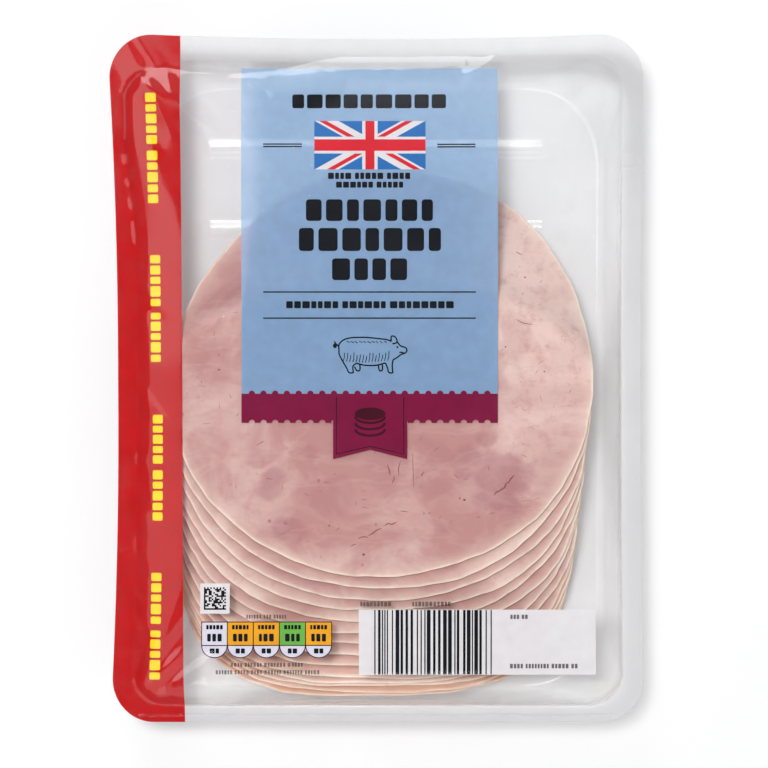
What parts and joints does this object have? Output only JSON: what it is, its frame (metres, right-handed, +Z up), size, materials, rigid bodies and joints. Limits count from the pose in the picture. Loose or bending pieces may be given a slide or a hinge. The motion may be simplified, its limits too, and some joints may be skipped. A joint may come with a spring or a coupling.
{
  "type": "pack of sliced ham",
  "caption": "Sealed clear retail pack of shingled round ham slices in a thermoformed tray under a clear printed lid film.",
  "frame": {"origin": "centre of the pack's outline, on the surface that the tray lies on", "axes": "+Z up through the lid film, +Y towards the top edge of the print, +X to the right of the print"},
  "size_m": [0.16, 0.206, 0.0276],
  "materials": {
    "clear_tray": "clear thermoformed plastic with a slight grey haze",
    "clear_film": "clear glossy lid film, slightly wrinkled near its seal",
    "print": "ink fields printed on the inside of the lid film",
    "ham": null
  },
  "bodies": {
    "root": {"tray": "clear_tray", "lid_film": "clear_film", "ham_slice_01": "ham", "ham_slice_02": "ham", "ham_slice_03": "ham", "ham_slice_04": "ham", "ham_slice_05": "ham", "ham_slice_06": "ham", "ham_slice_07": "ham", "ham_slice_08": "ham", "ham_slice_09": "ham", "ham_slice_10": "ham", "ham_slice_11": "ham", "ham_slice_12": "ham", "ham_slice_13": "ham", "ham_slice_14": "ham"}
  },
  "joints": []
}
